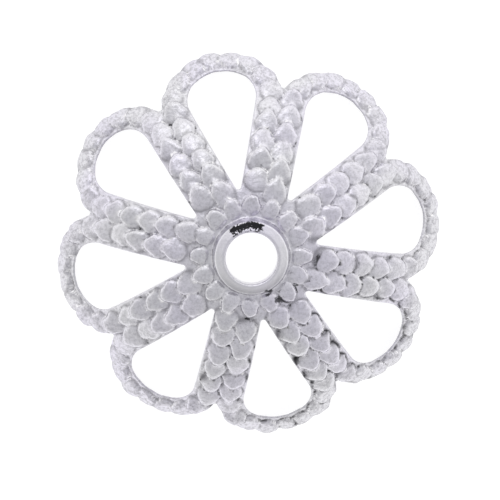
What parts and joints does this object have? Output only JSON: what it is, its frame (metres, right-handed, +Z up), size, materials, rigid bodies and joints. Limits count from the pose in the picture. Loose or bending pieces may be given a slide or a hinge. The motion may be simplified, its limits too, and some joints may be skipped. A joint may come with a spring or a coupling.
{
  "type": "bead cap",
  "caption": "Domed openwork bead cap: a stamped flower of petal loops bordered by raised round beads, with a collared hole for the wire.",
  "frame": {"origin": "centre of the surface that the petal tips stand on, on the axis of the wire hole", "axes": "+Z up along the axis of the wire hole, out through the collar; +X towards the middle of one petal"},
  "size_m": [0.016, 0.016, 0.0054],
  "materials": {
    "silver_plate": "satin silver plating on stamped brass"
  },
  "bodies": {
    "root": {"bead_cap": "silver_plate"}
  },
  "joints": []
}
